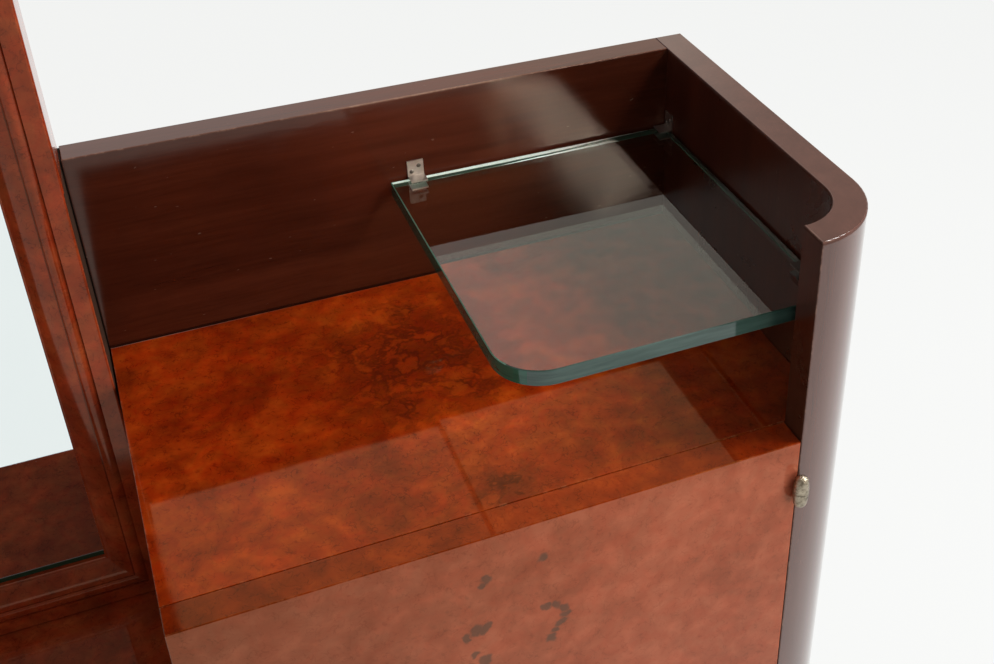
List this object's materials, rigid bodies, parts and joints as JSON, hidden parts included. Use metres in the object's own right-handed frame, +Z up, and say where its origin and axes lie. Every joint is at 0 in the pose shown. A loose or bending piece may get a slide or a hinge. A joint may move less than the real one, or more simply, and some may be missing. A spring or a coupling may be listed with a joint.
{
  "type": "dressing table with mirror",
  "caption": "Low dressing table in glossy burl and dark mahogany, with a tall framed mirror between two galleried cabinets, glass shelves and drawers.",
  "frame": {"origin": "middle of the floor outline, on the floor", "axes": "+X to the table's right as seen from the front, +Y to the back, +Z up; the doors and drawers face -Y"},
  "size_m": [1.5384, 0.331, 1.6],
  "materials": {
    "burl_veneer": "gloss",
    "dark_mahogany": "gloss",
    "cabinet_wood": "satin",
    "plain_wood": "matte",
    "plywood": "matte",
    "plate_glass": "gloss",
    "mirror": "gloss",
    "nickel": "satin",
    "steel": "satin"
  },
  "bodies": {
    "table": {"catch_clips": "steel", "centre_back": "plywood", "centre_bottom": "cabinet_wood", "centre_left_side": "cabinet_wood", "centre_plinth": "dark_mahogany", "centre_right_side": "cabinet_wood", "clip_screws": "nickel", "connecting_bolts": "steel", "drawer_rail": "plain_wood", "drawer_runners": "plain_wood", "hinge_fixed_leaves": "nickel", "hinge_pins": "nickel", "left_bottom_board": "cabinet_wood", "left_carcass_back": "plywood", "left_gallery_back": "dark_mahogany", "left_glass_shelf": "plate_glass", "left_inner_shelf": "cabinet_wood", "left_inner_side": "cabinet_wood", "left_plinth": "dark_mahogany", "left_side_panel": "dark_mahogany", "left_top_board": "burl_veneer", "low_top": "burl_veneer", "mirror_backing": "plywood", "mirror_battens": "plain_wood", "mirror_bottom_rail": "burl_veneer", "mirror_glass": "mirror", "mirror_left_stile": "burl_veneer", "mirror_right_stile": "burl_veneer", "mirror_top_rail": "burl_veneer", "right_bottom_board": "cabinet_wood", "right_carcass_back": "plywood", "right_gallery_back": "dark_mahogany", "right_glass_shelf": "plate_glass", "right_inner_shelf": "cabinet_wood", "right_inner_side": "cabinet_wood", "right_plinth": "dark_mahogany", "right_side_panel": "dark_mahogany", "right_top_board": "burl_veneer", "shelf_clips": "nickel", "shelf_pegs": "steel"},
    "right_door": {"right_door": "burl_veneer", "right_door_knob": "nickel", "right_hinge_door_leaves": "nickel", "right_catch_stud": "steel"},
    "left_door": {"left_door": "burl_veneer", "left_door_knob": "nickel", "left_hinge_door_leaves": "nickel", "left_catch_stud": "steel"},
    "upper_drawer": {"upper_drawer_front": "burl_veneer", "upper_drawer_sides": "plain_wood", "upper_drawer_back": "plain_wood", "upper_drawer_bottom": "plywood", "upper_drawer_knobs": "nickel"},
    "lower_drawer": {"lower_drawer_front": "burl_veneer", "lower_drawer_sides": "plain_wood", "lower_drawer_back": "plain_wood", "lower_drawer_bottom": "plywood", "lower_drawer_knobs": "nickel"}
  },
  "joints": [
    {"name": "right_door_hinge", "type": "hinge", "parent": "table", "child": "right_door", "pos_m": [0.71085, -0.1513, 0.35], "axis": [0, 0, 1], "range_deg": [0, 175]},
    {"name": "left_door_hinge", "type": "hinge", "parent": "table", "child": "left_door", "pos_m": [-0.71085, -0.1513, 0.35], "axis": [0, 0, -1], "range_deg": [0, 175]},
    {"name": "upper_drawer_slide", "type": "slide", "parent": "table", "child": "upper_drawer", "axis": [0, -1, 0], "range_m": [0, 0.14]},
    {"name": "lower_drawer_slide", "type": "slide", "parent": "table", "child": "lower_drawer", "axis": [0, -1, 0], "range_m": [0, 0.14]}
  ]
}
